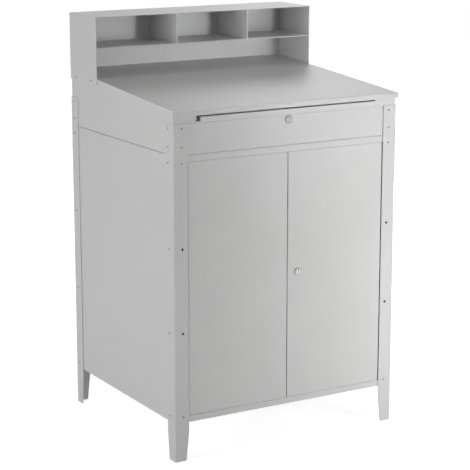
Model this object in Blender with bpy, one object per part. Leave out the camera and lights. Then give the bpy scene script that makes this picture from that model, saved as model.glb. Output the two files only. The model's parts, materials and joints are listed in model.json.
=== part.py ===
"""Standing shop desk with a two-door cabinet, a drawer and a pigeonhole riser, in painted sheet steel."""
import math

import bmesh
import bpy
from mathutils import Matrix, Vector

# Overall sizes, over the legs (metres)
WIDTH = 0.832
DEPTH = 0.724
HEIGHT = 1.367

# Sheet thicknesses and fits
LEG_SHEET = 0.0025
PANEL_SHEET = 0.0015
DESK_SHEET = 0.0020
RISER_SHEET = 0.0025
RISER_SHELF_SHEET = 0.0030
SEAT_GAP = 0.0003
SEAM_GAP = 0.0014

# Legs: folded angles that taper below the cabinet
LEG_FLANGE = 0.050
FOOT_FLANGE = 0.040
TAPER_HEIGHT = 0.093

# Levels: the desk's edge hangs from the overall height, then the leg tops and the drawer's seam
EDGE_BELOW_TOP = 0.242
LEGS_BELOW_EDGE = 0.041
DRAWER_BAY_HEIGHT = 0.0975
CABINET_BOTTOM = 0.127
BOTTOM_RAIL = 0.021
MID_RAIL = 0.021

# Sloping desk top
DESK_SLOPE = math.radians(4.2)
DESK_LIP = 0.0175
LIP_OVERHANG = 0.0093
DESK_SIDE_OVERHANG = 0.0015

# Finger slot in the front rail and the drawer's pull tab
SLOT_HALF = 0.3335
SLOT_TOP_ABOVE_LIP = 0.0010
PULL_NOTCH = 0.0150
PULL_LEDGE = 0.0040
PULL_RISE = 0.0183
PULL_LEAN = 0.0012

# Drawer and its runners
DRAWER_GAP = 0.0006
DRAWER_FOOT_GAP = 0.0010
DRAWER_LENGTH = 0.560
DRAWER_SIDE_INSET = 0.020
DRAWER_FLOOR_RISE = 0.0040
DRAWER_SIDE_HEIGHT = 0.078
SLIDE_WIDTH = 0.008
SLIDE_HEIGHT = 0.012
SLIDE_RISE = 0.024
RUNNER_CLEARANCE = 0.0006
RUNNER_FOOT = 0.020
RUNNER_PIN_GAP = 0.008
RUNNER_BACK_GAP = 0.012

# Doors
DOOR_DEPTH = 0.018
DOOR_SIDE_GAP = 0.0018
DOOR_CENTRE_GAP = 0.0024
DOOR_GAP = 0.0004
PIVOT_SIDE_INSET = 0.010
PIVOT_FRONT_INSET = 0.008
PIN_RADIUS = 0.003
PIN_LENGTH = 0.010
PIN_CLEARANCE = 0.0004
STIFFENER_WIDTH = 0.080
STIFFENER_EDGE = 0.040
CATCH_SIZE = (0.045, 0.014, 0.013)
CATCH_INSET = 0.012

# Cabinet shelf and its clips
SHELF_FLOOR_HEIGHT = 0.522
SHELF_LIP = 0.022
SHELF_SETBACK = 0.027
CLIP_WIDTH = 0.030
CLIP_ARM = 0.020
CLIP_EDGE = 0.090

# Riser with pigeonholes
RISER_DEPTH = 0.199
RISER_LAP = 0.0202
PIGEONHOLE_HEIGHT = 0.102
DIVIDER_LEFT_X = -0.113
DIVIDER_RIGHT_X = 0.163
RISER_SCREW_RISE = 0.011
RISER_SCREW_REAR = 0.041
RISER_SCREW_FRONT = 0.158
SCREW_HEAD_RADIUS = 0.0048
SCREW_HEAD_HEIGHT = 0.0016
SCREW_CROWN_RADIUS = 0.0034
SCREW_RIM_HEIGHT = 0.0006
SCREW_SHANK_RADIUS = 0.0022
SCREW_SHANK_LENGTH = 0.009
SCREW_HOLE_CLEARANCE = 0.0003

# Cam locks
LOCK_BEZEL_RADIUS = 0.0130
LOCK_BEZEL_DEPTH = 0.0032
LOCK_BARREL_RADIUS = 0.0100
LOCK_HOLE_CLEARANCE = 0.0003
PLUG_RADIUS = 0.0074
PLUG_CLEARANCE = 0.0003
PLUG_PROUD = 0.0005
KEY_SLOT = (0.0025, 0.0100, 0.0050)
NUT_FLAT = 0.0135
NUT_DEPTH = 0.0040
CAM_SHEET = 0.0025
CAM_WIDTH = 0.014
DRAWER_LOCK_DROP = 0.016
DRAWER_LOCK_LENGTH = 0.0105
DRAWER_CAM_REACH = 0.046
DOOR_LOCK_X = 0.040
DOOR_LOCK_RISE = 0.024
DOOR_LOCK_LENGTH = 0.0295
DOOR_CAM_REACH = 0.036
STRIKE_WIDTH = 0.060
STRIKE_FLANGE = 0.012

SEGMENTS = 32
SCREW_SEGMENTS = 16
NUT_SIDES = 6
SMOOTH_ANGLE = math.radians(35)

# Planes that the pieces share: X to the right, Y to the rear, Z up, origin under the middle
LIP_Y = -(DEPTH + LIP_OVERHANG) / 2
LEG_FRONT_Y = LIP_Y + LIP_OVERHANG
LEG_REAR_Y = LEG_FRONT_Y + DEPTH
LEG_X = WIDTH / 2
BODY_INSET = LEG_SHEET + SEAT_GAP
BODY_X = LEG_X - BODY_INSET
BODY_FRONT_Y = LEG_FRONT_Y + BODY_INSET
BODY_REAR_Y = LEG_REAR_Y - BODY_INSET
INNER_X = BODY_X - PANEL_SHEET - SEAT_GAP
INNER_REAR_Y = BODY_REAR_Y - PANEL_SHEET - SEAT_GAP
DESK_EDGE_HEIGHT = HEIGHT - EDGE_BELOW_TOP
LEG_HEIGHT = DESK_EDGE_HEIGHT - LEGS_BELOW_EDGE
SEAM_HEIGHT = LEG_HEIGHT - DRAWER_BAY_HEIGHT
LOWER_TOP = SEAM_HEIGHT - SEAM_GAP / 2
UPPER_LOW = SEAM_HEIGHT + SEAM_GAP / 2
FLOOR_TOP = CABINET_BOTTOM + BOTTOM_RAIL
TOP_PAN_LOW = LOWER_TOP - MID_RAIL
BAY_X = LEG_X - LEG_FLANGE
RISER_INNER_X = BODY_X + SEAT_GAP
RISER_X = RISER_INNER_X + RISER_SHEET
RISER_REAR_Y = BODY_REAR_Y + SEAT_GAP + RISER_SHEET
RISER_FRONT_Y = RISER_REAR_Y - RISER_DEPTH
RISER_BACK_Y = RISER_REAR_Y - RISER_SHEET
DOOR_EDGE_X = BAY_X - DOOR_SIDE_GAP
DOOR_FREE_X = DOOR_CENTRE_GAP / 2
DOOR_LOW = FLOOR_TOP + DOOR_GAP
DOOR_TOP = TOP_PAN_LOW - DOOR_GAP
PIVOT_X = DOOR_EDGE_X - PIVOT_SIDE_INSET
PIVOT_Y = BODY_FRONT_Y + PIVOT_FRONT_INSET
DRAWER_X = BAY_X - DRAWER_GAP
DRAWER_BOX_X = DRAWER_X - DRAWER_SIDE_INSET
DRAWER_LOW = LOWER_TOP + DRAWER_FLOOR_RISE
DRAWER_BACK_FACE_Y = BODY_FRONT_Y + PANEL_SHEET
DRAWER_BOX_FRONT_Y = DRAWER_BACK_FACE_Y + SEAT_GAP
DRAWER_BOX_REAR_Y = DRAWER_BOX_FRONT_Y + DRAWER_LENGTH
DRAWER_LOCK_HEIGHT = LEG_HEIGHT - DRAWER_LOCK_DROP
DOOR_LOCK_HEIGHT = SHELF_FLOOR_HEIGHT + SHELF_LIP + DOOR_LOCK_RISE
SLOT_TOP = DESK_EDGE_HEIGHT - DESK_LIP + SLOT_TOP_ABOVE_LIP
RISER_SHELF_TOP = HEIGHT - PIGEONHOLE_HEIGHT

PAINT = ((0.60, 0.60, 0.60), 0.45, 0.0)
ZINC = ((0.55, 0.56, 0.57), 0.35, 1.0)
CHROME = ((0.80, 0.80, 0.80), 0.12, 1.0)
DARK_PLASTIC = ((0.05, 0.05, 0.05), 0.55, 0.0)


def desk_surface(y):
    """Height of the sloping writing surface at depth y."""
    return DESK_EDGE_HEIGHT + (y - LIP_Y) * math.tan(DESK_SLOPE)


def under_desk(y):
    """Height of what the desk sheet rests on at depth y."""
    return desk_surface(y) - DESK_SHEET / math.cos(DESK_SLOPE) - SEAT_GAP


def make_frame(name, at, parent=None):
    """An empty on a joint's axis, which carries the pieces that move about it."""
    frame = bpy.data.objects.new(name, None)
    bpy.context.scene.collection.objects.link(frame)
    frame["at"] = at
    if parent is not None:
        frame.parent = parent
        frame.location = Vector(at) - Vector(parent["at"])
    else:
        frame.location = at
    return frame


def add_piece(name, mesh_data, finish, frame, smooth=False):
    """Turn world-space bmesh geometry into one named object with its own material."""
    bmesh.ops.recalc_face_normals(mesh_data, faces=mesh_data.faces)
    bmesh.ops.translate(mesh_data, verts=mesh_data.verts, vec=-Vector(frame["at"]))
    mesh = bpy.data.meshes.new(name)
    mesh_data.to_mesh(mesh)
    mesh_data.free()
    if smooth:
        mesh.shade_smooth()
        mesh.set_sharp_from_angle(angle=SMOOTH_ANGLE)
    colour, roughness, metallic = finish
    material = bpy.data.materials.new(name + "_finish")
    material.use_nodes = True
    shader = material.node_tree.nodes["Principled BSDF"]
    shader.inputs["Base Color"].default_value = (*colour, 1.0)
    shader.inputs["Roughness"].default_value = roughness
    shader.inputs["Metallic"].default_value = metallic
    mesh.materials.append(material)
    piece = bpy.data.objects.new(name, mesh)
    bpy.context.scene.collection.objects.link(piece)
    piece.parent = frame
    return piece


def swept(polygons, sweep):
    """A closed solid: flat polygons that share corners, swept along one vector."""
    solid = bmesh.new()
    corners = {}
    faces = []
    for polygon in polygons:
        loop = []
        for point in polygon:
            key = tuple(round(value, 7) for value in point)
            if key not in corners:
                corners[key] = solid.verts.new(point)
            loop.append(corners[key])
        faces.append(solid.faces.new(loop))
    result = bmesh.ops.extrude_face_region(solid, geom=faces)
    moved = [item for item in result["geom"] if isinstance(item, bmesh.types.BMVert)]
    bmesh.ops.translate(solid, verts=moved, vec=sweep)
    bmesh.ops.recalc_face_normals(solid, faces=solid.faces)
    return solid


def block(low, high):
    """A rectangular solid between two corners."""
    base = [(low[0], low[1], low[2]), (high[0], low[1], low[2]),
            (high[0], high[1], low[2]), (low[0], high[1], low[2])]
    return swept([base], (0, 0, high[2] - low[2]))


def push_face(solid, pick, offset):
    """Extrude the faces that pick accepts along offset."""
    chosen = [face for face in solid.faces if pick(face)]
    result = bmesh.ops.extrude_face_region(solid, geom=chosen)
    moved = [item for item in result["geom"] if isinstance(item, bmesh.types.BMVert)]
    bmesh.ops.translate(solid, verts=moved, vec=offset)
    bmesh.ops.delete(solid, geom=chosen, context="FACES_ONLY")


def pan(low, high, wall, opening):
    """A folded pan: a block hollowed from the side that the unit vector opening points to."""
    solid = block(low, high)
    out = Vector(opening)
    mouth = [face for face in solid.faces if face.normal.dot(out) > 0.9]
    bmesh.ops.inset_region(solid, faces=mouth, thickness=wall, use_even_offset=True)
    span = abs((Vector(high) - Vector(low)).dot(out))
    push_face(solid, lambda face: face in mouth, -out * (span - wall))
    return solid


def turned(profile, at, axis, segments=SEGMENTS):
    """A solid of revolution from (radius, distance along axis) pairs, closed on itself or on the axis."""
    solid = bmesh.new()
    turn = Vector((0, 0, 1)).rotation_difference(Vector(axis)).to_matrix().to_4x4()
    place = Matrix.Translation(at) @ turn
    rings = []
    for radius, along in profile:
        count = segments if radius > 0 else 1
        ring = []
        for step in range(count):
            angle = 2 * math.pi * (step + 0.5) / segments
            point = Vector((radius * math.cos(angle), radius * math.sin(angle), along))
            ring.append(solid.verts.new(place @ point))
        rings.append(ring)
    pairs = list(zip(rings, rings[1:]))
    if profile[0][0] > 0:
        pairs.append((rings[-1], rings[0]))
    for first, second in pairs:
        for step in range(segments):
            after = (step + 1) % segments
            loop = [first[step % len(first)], first[after % len(first)],
                    second[after % len(second)], second[step % len(second)]]
            solid.faces.new(list(dict.fromkeys(loop)))
    return solid


def cylinder(radius, length, at, axis):
    """A plain round bar from at along axis."""
    return turned([(0, 0), (radius, 0), (radius, length), (0, length)], at, axis)


def cut(piece, cutter_mesh, label, frame):
    """Cut a piece with a hidden solid."""
    bmesh.ops.recalc_face_normals(cutter_mesh, faces=cutter_mesh.faces)
    bmesh.ops.translate(cutter_mesh, verts=cutter_mesh.verts, vec=-Vector(frame["at"]))
    mesh = bpy.data.meshes.new(label)
    cutter_mesh.to_mesh(mesh)
    cutter_mesh.free()
    cutter = bpy.data.objects.new(label, mesh)
    bpy.context.scene.collection.objects.link(cutter)
    cutter.parent = frame
    cutter.hide_render = True
    cutter.display_type = "WIRE"
    modifier = piece.modifiers.new(label, "BOOLEAN")
    modifier.operation = "DIFFERENCE"
    modifier.object = cutter


def side_name(sign):
    return "right" if sign > 0 else "left"


def make_legs(frame):
    """Four corner angles, narrowed towards the floor on their inner edges."""
    for y_sign, end in ((-1, "front"), (1, "rear")):
        corner_y = LEG_FRONT_Y if y_sign < 0 else LEG_REAR_Y
        for x_sign in (-1, 1):
            solid = bmesh.new()
            levels = ((0.0, FOOT_FLANGE), (TAPER_HEIGHT, LEG_FLANGE), (LEG_HEIGHT, LEG_FLANGE))
            rings = []
            for level, flange in levels:
                outline = [(0, 0), (flange, 0), (flange, LEG_SHEET),
                           (LEG_SHEET, LEG_SHEET), (LEG_SHEET, flange), (0, flange)]
                ring = [solid.verts.new((x_sign * (LEG_X - across), corner_y - y_sign * along, level))
                        for across, along in outline]
                rings.append(ring)
            for lower, upper in zip(rings, rings[1:]):
                for here in range(len(lower)):
                    after = (here + 1) % len(lower)
                    solid.faces.new((lower[here], lower[after], upper[after], upper[here]))
            solid.faces.new(rings[0])
            solid.faces.new(rings[-1])
            add_piece(f"leg_{end}_{side_name(x_sign)}", solid, PAINT, frame)


def make_body_panels(frame):
    """Side and back sheets of the cabinet and of the drawer housing above it."""
    rail_back_y = BODY_FRONT_Y + PANEL_SHEET + SEAT_GAP
    for x_sign in (-1, 1):
        outer = x_sign * BODY_X
        inner = x_sign * (BODY_X - PANEL_SHEET)
        low = (min(outer, inner), BODY_FRONT_Y, CABINET_BOTTOM)
        high = (max(outer, inner), BODY_REAR_Y, LOWER_TOP)
        add_piece(f"lower_side_panel_{side_name(x_sign)}", block(low, high), PAINT, frame)
        outline = [(outer, rail_back_y, UPPER_LOW), (outer, BODY_REAR_Y, UPPER_LOW),
                   (outer, BODY_REAR_Y, under_desk(BODY_REAR_Y)),
                   (outer, rail_back_y, under_desk(rail_back_y))]
        sheet = swept([outline], (inner - outer, 0, 0))
        add_piece(f"upper_side_panel_{side_name(x_sign)}", sheet, PAINT, frame)
    back_y = BODY_REAR_Y - PANEL_SHEET
    lower = block((-INNER_X, back_y, CABINET_BOTTOM), (INNER_X, BODY_REAR_Y, LOWER_TOP))
    add_piece("lower_back_panel", lower, PAINT, frame)
    upper = block((-INNER_X, back_y, UPPER_LOW), (INNER_X, BODY_REAR_Y, under_desk(back_y)))
    add_piece("upper_back_panel", upper, PAINT, frame)


def make_pans(frame):
    """Cabinet floor and cabinet top, whose front flanges are the bottom and middle rails."""
    floor = pan((-INNER_X, BODY_FRONT_Y, CABINET_BOTTOM), (INNER_X, INNER_REAR_Y, FLOOR_TOP),
                PANEL_SHEET, (0, 0, -1))
    floor_pan = add_piece("floor_pan", floor, PAINT, frame)
    top = pan((-INNER_X, BODY_FRONT_Y, TOP_PAN_LOW), (INNER_X, INNER_REAR_Y, LOWER_TOP),
              PANEL_SHEET, (0, 0, 1))
    top_pan = add_piece("cabinet_top_pan", top, PAINT, frame)
    hole = PIN_RADIUS + PIN_CLEARANCE
    reach = PANEL_SHEET * 3
    for x_sign in (-1, 1):
        label = side_name(x_sign)
        below = cylinder(hole, reach, (x_sign * PIVOT_X, PIVOT_Y, FLOOR_TOP - reach / 2), (0, 0, 1))
        cut(floor_pan, below, f"floor_pivot_hole_{label}", frame)
        above = cylinder(hole, reach, (x_sign * PIVOT_X, PIVOT_Y, TOP_PAN_LOW - reach / 2), (0, 0, 1))
        cut(top_pan, above, f"top_pivot_hole_{label}", frame)


def make_front_rail(frame):
    """Rail under the desk's front edge, cut out from below as a finger slot."""
    columns = [-BODY_X, -SLOT_HALF, SLOT_HALF, BODY_X]
    rows = [LEG_HEIGHT, SLOT_TOP, under_desk(BODY_FRONT_Y)]
    polygons = []
    for row in range(2):
        for column in range(3):
            if row == 0 and column == 1:
                continue
            left, right = columns[column], columns[column + 1]
            low, high = rows[row], rows[row + 1]
            polygons.append([(left, BODY_FRONT_Y, low), (right, BODY_FRONT_Y, low),
                             (right, BODY_FRONT_Y, high), (left, BODY_FRONT_Y, high)])
    add_piece("front_rail", swept(polygons, (0, PANEL_SHEET, 0)), PAINT, frame)


def make_desk_top(frame):
    """Sloping sheet with a turned-down front lip, narrowed at the rear to pass between the riser sides."""
    wide = LEG_X + DESK_SIDE_OVERHANG
    narrow = BODY_X
    fold_y = LIP_Y + DESK_SHEET
    step_y = RISER_FRONT_Y - SEAT_GAP
    rear_y = RISER_BACK_Y - SEAT_GAP
    thickness = DESK_SHEET / math.cos(DESK_SLOPE)

    def at(x, y):
        return (x, y, desk_surface(y) - thickness)

    strip = [at(-wide, LIP_Y), at(wide, LIP_Y), at(wide, fold_y), at(-wide, fold_y)]
    sheet = [at(-wide, fold_y), at(wide, fold_y), at(wide, step_y), at(narrow, step_y),
             at(narrow, rear_y), at(-narrow, rear_y), at(-narrow, step_y), at(-wide, step_y)]
    top = swept([strip, sheet], (0, 0, thickness))
    strip_y = (LIP_Y + fold_y) / 2

    def is_lip(face):
        centre = face.calc_center_median()
        return face.normal.z < -0.9 and abs(centre.y - strip_y) < DESK_SHEET / 4

    push_face(top, is_lip, (0, 0, thickness - DESK_LIP))
    add_piece("desk_top", top, PAINT, frame)


def make_riser(frame):
    """Rear riser: sides that lap the body, back, top, a shelf and the pigeonhole dividers."""
    under_top = HEIGHT - RISER_SHEET - SEAT_GAP
    riser_low = desk_surface(RISER_FRONT_Y) - RISER_LAP
    screw_height = riser_low + RISER_SCREW_RISE
    inside_x = RISER_INNER_X - SEAT_GAP
    inside_rear_y = RISER_BACK_Y - SEAT_GAP
    for x_sign in (-1, 1):
        outer = x_sign * RISER_X
        inner = x_sign * RISER_INNER_X
        low = (min(outer, inner), RISER_FRONT_Y, riser_low)
        high = (max(outer, inner), RISER_REAR_Y, under_top)
        label = f"riser_side_{side_name(x_sign)}"
        side = add_piece(label, block(low, high), PAINT, frame)
        hole = SCREW_SHANK_RADIUS + SCREW_HOLE_CLEARANCE
        body = bpy.data.objects[f"upper_side_panel_{side_name(x_sign)}"]
        for place, setback in (("rear", RISER_SCREW_REAR), ("front", RISER_SCREW_FRONT)):
            y = RISER_REAR_Y - setback
            seat = (outer + x_sign * SEAT_GAP, y, screw_height)
            inward = (-x_sign, 0, 0)
            head = [(0, -SCREW_HEAD_HEIGHT), (SCREW_CROWN_RADIUS, -SCREW_HEAD_HEIGHT),
                    (SCREW_HEAD_RADIUS, -SCREW_RIM_HEIGHT), (SCREW_HEAD_RADIUS, 0),
                    (SCREW_SHANK_RADIUS, 0), (SCREW_SHANK_RADIUS, SCREW_SHANK_LENGTH),
                    (0, SCREW_SHANK_LENGTH)]
            name = f"riser_screw_{side_name(x_sign)}_{place}"
            add_piece(name, turned(head, seat, inward, SCREW_SEGMENTS), PAINT, frame, smooth=True)
            start = (outer + x_sign * SCREW_SHANK_LENGTH, y, screw_height)
            through = SCREW_SHANK_LENGTH * 2
            cut(side, cylinder(hole, through, start, inward), f"{name}_side_hole", frame)
            cut(body, cylinder(hole, through, start, inward), f"{name}_body_hole", frame)
    back = block((-inside_x, RISER_BACK_Y, riser_low), (inside_x, RISER_REAR_Y, under_top))
    add_piece("riser_back", back, PAINT, frame)
    top = block((-RISER_X, RISER_FRONT_Y, HEIGHT - RISER_SHEET), (RISER_X, RISER_REAR_Y, HEIGHT))
    add_piece("riser_top", top, PAINT, frame)
    shelf = block((-inside_x, RISER_FRONT_Y, RISER_SHELF_TOP - RISER_SHELF_SHEET),
                  (inside_x, inside_rear_y, RISER_SHELF_TOP))
    add_piece("riser_shelf", shelf, PAINT, frame)
    for label, x in (("left", DIVIDER_LEFT_X), ("right", DIVIDER_RIGHT_X)):
        divider = block((x - RISER_SHEET / 2, RISER_FRONT_Y, RISER_SHELF_TOP + SEAT_GAP),
                        (x + RISER_SHEET / 2, inside_rear_y, under_top))
        add_piece(f"pigeonhole_divider_{label}", divider, PAINT, frame)


def make_shelf(frame):
    """Loose cabinet shelf with upturned lips on four clips; its front lip is the door lock's strike."""
    side_x = INNER_X - SEAT_GAP
    front_y = BODY_FRONT_Y + SHELF_SETBACK
    floor_low = SHELF_FLOOR_HEIGHT - PANEL_SHEET
    rear_y = INNER_REAR_Y - SEAT_GAP
    tray = pan((-side_x, front_y, floor_low), (side_x, rear_y, SHELF_FLOOR_HEIGHT + SHELF_LIP),
               PANEL_SHEET, (0, 0, 1))
    add_piece("cabinet_shelf", tray, PAINT, frame)
    clip_top = floor_low - SEAT_GAP
    for x_sign in (-1, 1):
        for place, y in (("front", front_y + CLIP_EDGE), ("rear", rear_y - CLIP_EDGE)):
            wall = x_sign * INNER_X
            near = wall - x_sign * PANEL_SHEET
            far = wall - x_sign * CLIP_ARM
            start = y - CLIP_WIDTH / 2
            angle = [(wall, start, clip_top), (far, start, clip_top),
                     (far, start, clip_top - PANEL_SHEET), (near, start, clip_top - PANEL_SHEET),
                     (near, start, clip_top - CLIP_ARM), (wall, start, clip_top - CLIP_ARM)]
            clip = swept([angle], (0, CLIP_WIDTH, 0))
            add_piece(f"shelf_clip_{side_name(x_sign)}_{place}", clip, ZINC, frame)


def make_runners(frame):
    """Channel runners on the cabinet top pan, in which the drawer's slide bars travel."""
    start_y = PIVOT_Y + PIN_RADIUS + RUNNER_PIN_GAP
    end_y = INNER_REAR_Y - RUNNER_BACK_GAP
    bar_low = DRAWER_LOW + SLIDE_RISE
    for x_sign in (-1, 1):
        bar_x = DRAWER_BOX_X + SEAT_GAP + SLIDE_WIDTH
        web_in = bar_x + RUNNER_CLEARANCE
        web_out = web_in + PANEL_SHEET
        mouth = DRAWER_BOX_X + RUNNER_CLEARANCE
        low = bar_low - RUNNER_CLEARANCE
        high = bar_low + SLIDE_HEIGHT + RUNNER_CLEARANCE
        foot = TOP_PAN_LOW + PANEL_SHEET + SEAT_GAP
        section = [(mouth, high), (web_in, high), (web_in, low), (mouth, low),
                   (mouth, low - PANEL_SHEET), (web_in, low - PANEL_SHEET), (web_in, foot),
                   (web_in + RUNNER_FOOT, foot), (web_in + RUNNER_FOOT, foot + PANEL_SHEET),
                   (web_out, foot + PANEL_SHEET), (web_out, high + PANEL_SHEET),
                   (mouth, high + PANEL_SHEET)]
        outline = [(x_sign * x, start_y, z) for x, z in section]
        runner = swept([outline], (0, end_y - start_y, 0))
        add_piece(f"drawer_runner_{side_name(x_sign)}", runner, ZINC, frame)


def make_drawer(frame):
    """Drawer: front sheet with a leaning pull tab, notched at its left end, tray sheets and slide bars."""
    front_low = LOWER_TOP + DRAWER_FOOT_GAP
    shoulder = LEG_HEIGHT - SEAT_GAP
    slot_end = SLOT_HALF - DRAWER_GAP
    notch_x = PULL_NOTCH - SLOT_HALF

    def front_point(x, rise):
        lean = PULL_LEAN * max(rise, 0) / PULL_RISE
        return (x, BODY_FRONT_Y - lean, shoulder + rise)

    down = front_low - shoulder
    lower = [front_point(-DRAWER_X, down), front_point(DRAWER_X, down), front_point(DRAWER_X, 0),
             front_point(slot_end, 0), front_point(-slot_end, 0), front_point(-DRAWER_X, 0)]
    ledge = [front_point(-slot_end, 0), front_point(slot_end, 0), front_point(slot_end, PULL_LEDGE),
             front_point(notch_x, PULL_LEDGE), front_point(-slot_end, PULL_LEDGE)]
    tab = [front_point(notch_x, PULL_LEDGE), front_point(slot_end, PULL_LEDGE),
           front_point(slot_end, PULL_RISE), front_point(notch_x, PULL_RISE)]
    front = add_piece("drawer_front", swept([lower, ledge, tab], (0, PANEL_SHEET, 0)), PAINT, frame)
    cut_lock_hole(front, (0, DRAWER_LOCK_HEIGHT), "drawer_lock_hole", frame)

    wall = PANEL_SHEET
    top = DRAWER_LOW + DRAWER_SIDE_HEIGHT
    inside_x = DRAWER_BOX_X - wall - SEAT_GAP
    for x_sign in (-1, 1):
        outer = x_sign * DRAWER_BOX_X
        inner = x_sign * (DRAWER_BOX_X - wall)
        side = block((min(outer, inner), DRAWER_BOX_FRONT_Y, DRAWER_LOW),
                     (max(outer, inner), DRAWER_BOX_REAR_Y, top))
        add_piece(f"drawer_side_{side_name(x_sign)}", side, PAINT, frame)
        near = x_sign * (DRAWER_BOX_X + SEAT_GAP)
        far = x_sign * (DRAWER_BOX_X + SEAT_GAP + SLIDE_WIDTH)
        bar_low = DRAWER_LOW + SLIDE_RISE
        bar = block((min(near, far), DRAWER_BOX_FRONT_Y + RUNNER_CLEARANCE, bar_low),
                    (max(near, far), DRAWER_BOX_REAR_Y, bar_low + SLIDE_HEIGHT))
        add_piece(f"drawer_slide_bar_{side_name(x_sign)}", bar, ZINC, frame)
    floor_top = DRAWER_LOW + wall
    floor = block((-inside_x, DRAWER_BOX_FRONT_Y, DRAWER_LOW), (inside_x, DRAWER_BOX_REAR_Y, floor_top))
    add_piece("drawer_floor", floor, PAINT, frame)
    back = block((-inside_x, DRAWER_BOX_REAR_Y - wall, floor_top + SEAT_GAP),
                 (inside_x, DRAWER_BOX_REAR_Y, top))
    add_piece("drawer_back", back, PAINT, frame)


def make_door(x_sign, frame):
    """One pan door with a stiffener and a pivot pin at each end."""
    label = side_name(x_sign)
    edge = x_sign * DOOR_EDGE_X
    free = x_sign * DOOR_FREE_X
    rear_y = BODY_FRONT_Y + DOOR_DEPTH
    low = (min(edge, free), BODY_FRONT_Y, DOOR_LOW)
    high = (max(edge, free), rear_y, DOOR_TOP)
    door = add_piece(f"door_{label}", pan(low, high, PANEL_SHEET, (0, 1, 0)), PAINT, frame)
    middle = (edge + free) / 2
    skin_y = BODY_FRONT_Y + PANEL_SHEET + SEAT_GAP
    stiffener = pan((middle - STIFFENER_WIDTH / 2, skin_y, DOOR_LOW + STIFFENER_EDGE),
                    (middle + STIFFENER_WIDTH / 2, rear_y, DOOR_TOP - STIFFENER_EDGE),
                    PANEL_SHEET, (0, -1, 0))
    add_piece(f"door_stiffener_{label}", stiffener, PAINT, frame)
    foot = (x_sign * PIVOT_X, PIVOT_Y, DOOR_LOW - SEAT_GAP)
    add_piece(f"door_pin_{label}_lower", cylinder(PIN_RADIUS, PIN_LENGTH, foot, (0, 0, -1)),
              ZINC, frame, smooth=True)
    head = (x_sign * PIVOT_X, PIVOT_Y, DOOR_TOP + SEAT_GAP)
    add_piece(f"door_pin_{label}_upper", cylinder(PIN_RADIUS, PIN_LENGTH, head, (0, 0, 1)),
              ZINC, frame, smooth=True)
    return door


def make_catch(frame):
    """Magnetic catch under the cabinet top that holds the left door shut."""
    width, depth, height = CATCH_SIZE
    right = -DOOR_FREE_X - CATCH_INSET
    front_y = BODY_FRONT_Y + DOOR_DEPTH + SEAT_GAP
    top = TOP_PAN_LOW - SEAT_GAP
    magnet = block((right - width, front_y, top - height), (right, front_y + depth, top))
    add_piece("door_catch_left", magnet, DARK_PLASTIC, frame)


def cut_lock_hole(panel, at, label, frame):
    """Round hole through a front sheet for a lock's barrel."""
    x, z = at
    hole = cylinder(LOCK_BARREL_RADIUS + LOCK_HOLE_CLEARANCE, PANEL_SHEET * 3,
                    (x, BODY_FRONT_Y - PANEL_SHEET, z), (0, 1, 0))
    cut(panel, hole, label, frame)


def make_lock(name, at, length, reach, owner, plug_frame):
    """Cam lock in a front sheet: bezelled body and nut on the owner, plug and cam that turn."""
    x, z = at
    origin = (x, BODY_FRONT_Y, z)
    rear = (0, 1, 0)
    bore = PLUG_RADIUS + PLUG_CLEARANCE
    face = -SEAT_GAP - LOCK_BEZEL_DEPTH
    soft = LOCK_BEZEL_DEPTH / 3
    body = [(bore, face), (LOCK_BEZEL_RADIUS - soft, face), (LOCK_BEZEL_RADIUS, face + soft),
            (LOCK_BEZEL_RADIUS, -SEAT_GAP), (LOCK_BARREL_RADIUS, -SEAT_GAP),
            (LOCK_BARREL_RADIUS, length), (bore, length)]
    add_piece(f"{name}_body", turned(body, origin, rear), CHROME, owner, smooth=True)
    plug_end = length + SEAT_GAP
    plug_face = face - PLUG_PROUD
    plug = [(0, plug_face), (PLUG_RADIUS, plug_face), (PLUG_RADIUS, plug_end), (0, plug_end)]
    plug_piece = add_piece(f"{name}_plug", turned(plug, origin, rear), CHROME, plug_frame, smooth=True)
    slot_width, slot_height, slot_depth = KEY_SLOT
    slot_front = BODY_FRONT_Y + plug_face
    keyway = block((x - slot_width / 2, slot_front - slot_depth, z - slot_height / 2),
                   (x + slot_width / 2, slot_front + slot_depth, z + slot_height / 2))
    cut(plug_piece, keyway, f"{name}_keyway", plug_frame)
    flat_share = math.cos(math.pi / NUT_SIDES)
    inner = (LOCK_BARREL_RADIUS + LOCK_HOLE_CLEARANCE) / flat_share
    outer = NUT_FLAT / flat_share
    nut_start = PANEL_SHEET + SEAT_GAP
    nut_end = nut_start + NUT_DEPTH
    nut = [(inner, nut_start), (outer, nut_start), (outer, nut_end), (inner, nut_end)]
    add_piece(f"{name}_nut", turned(nut, origin, rear, NUT_SIDES), ZINC, owner)
    cam_y = BODY_FRONT_Y + plug_end + SEAT_GAP
    half = CAM_WIDTH / 2
    tip = x + reach
    shoulder = tip - half / 2
    bar = [(x - half, cam_y, z - half), (shoulder, cam_y, z - half), (tip, cam_y, z - half / 2),
           (tip, cam_y, z + half / 2), (shoulder, cam_y, z + half), (x - half, cam_y, z + half)]
    add_piece(f"{name}_cam", swept([bar], (0, CAM_SHEET, 0)), ZINC, plug_frame)


def make_drawer_strike(frame):
    """Angle behind the front rail that the raised drawer cam hooks behind."""
    near_y = BODY_FRONT_Y + PANEL_SHEET + SEAT_GAP
    hook_y = BODY_FRONT_Y + DRAWER_LOCK_LENGTH - SEAT_GAP
    low = SLOT_TOP + SEAT_GAP
    half = STRIKE_WIDTH / 2
    angle = [(-half, near_y, low), (-half, hook_y, low), (-half, hook_y, low + PANEL_SHEET),
             (-half, near_y + PANEL_SHEET, low + PANEL_SHEET),
             (-half, near_y + PANEL_SHEET, low + STRIKE_FLANGE), (-half, near_y, low + STRIKE_FLANGE)]
    add_piece("drawer_strike", swept([angle], (STRIKE_WIDTH, 0, 0)), ZINC, frame)


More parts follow.
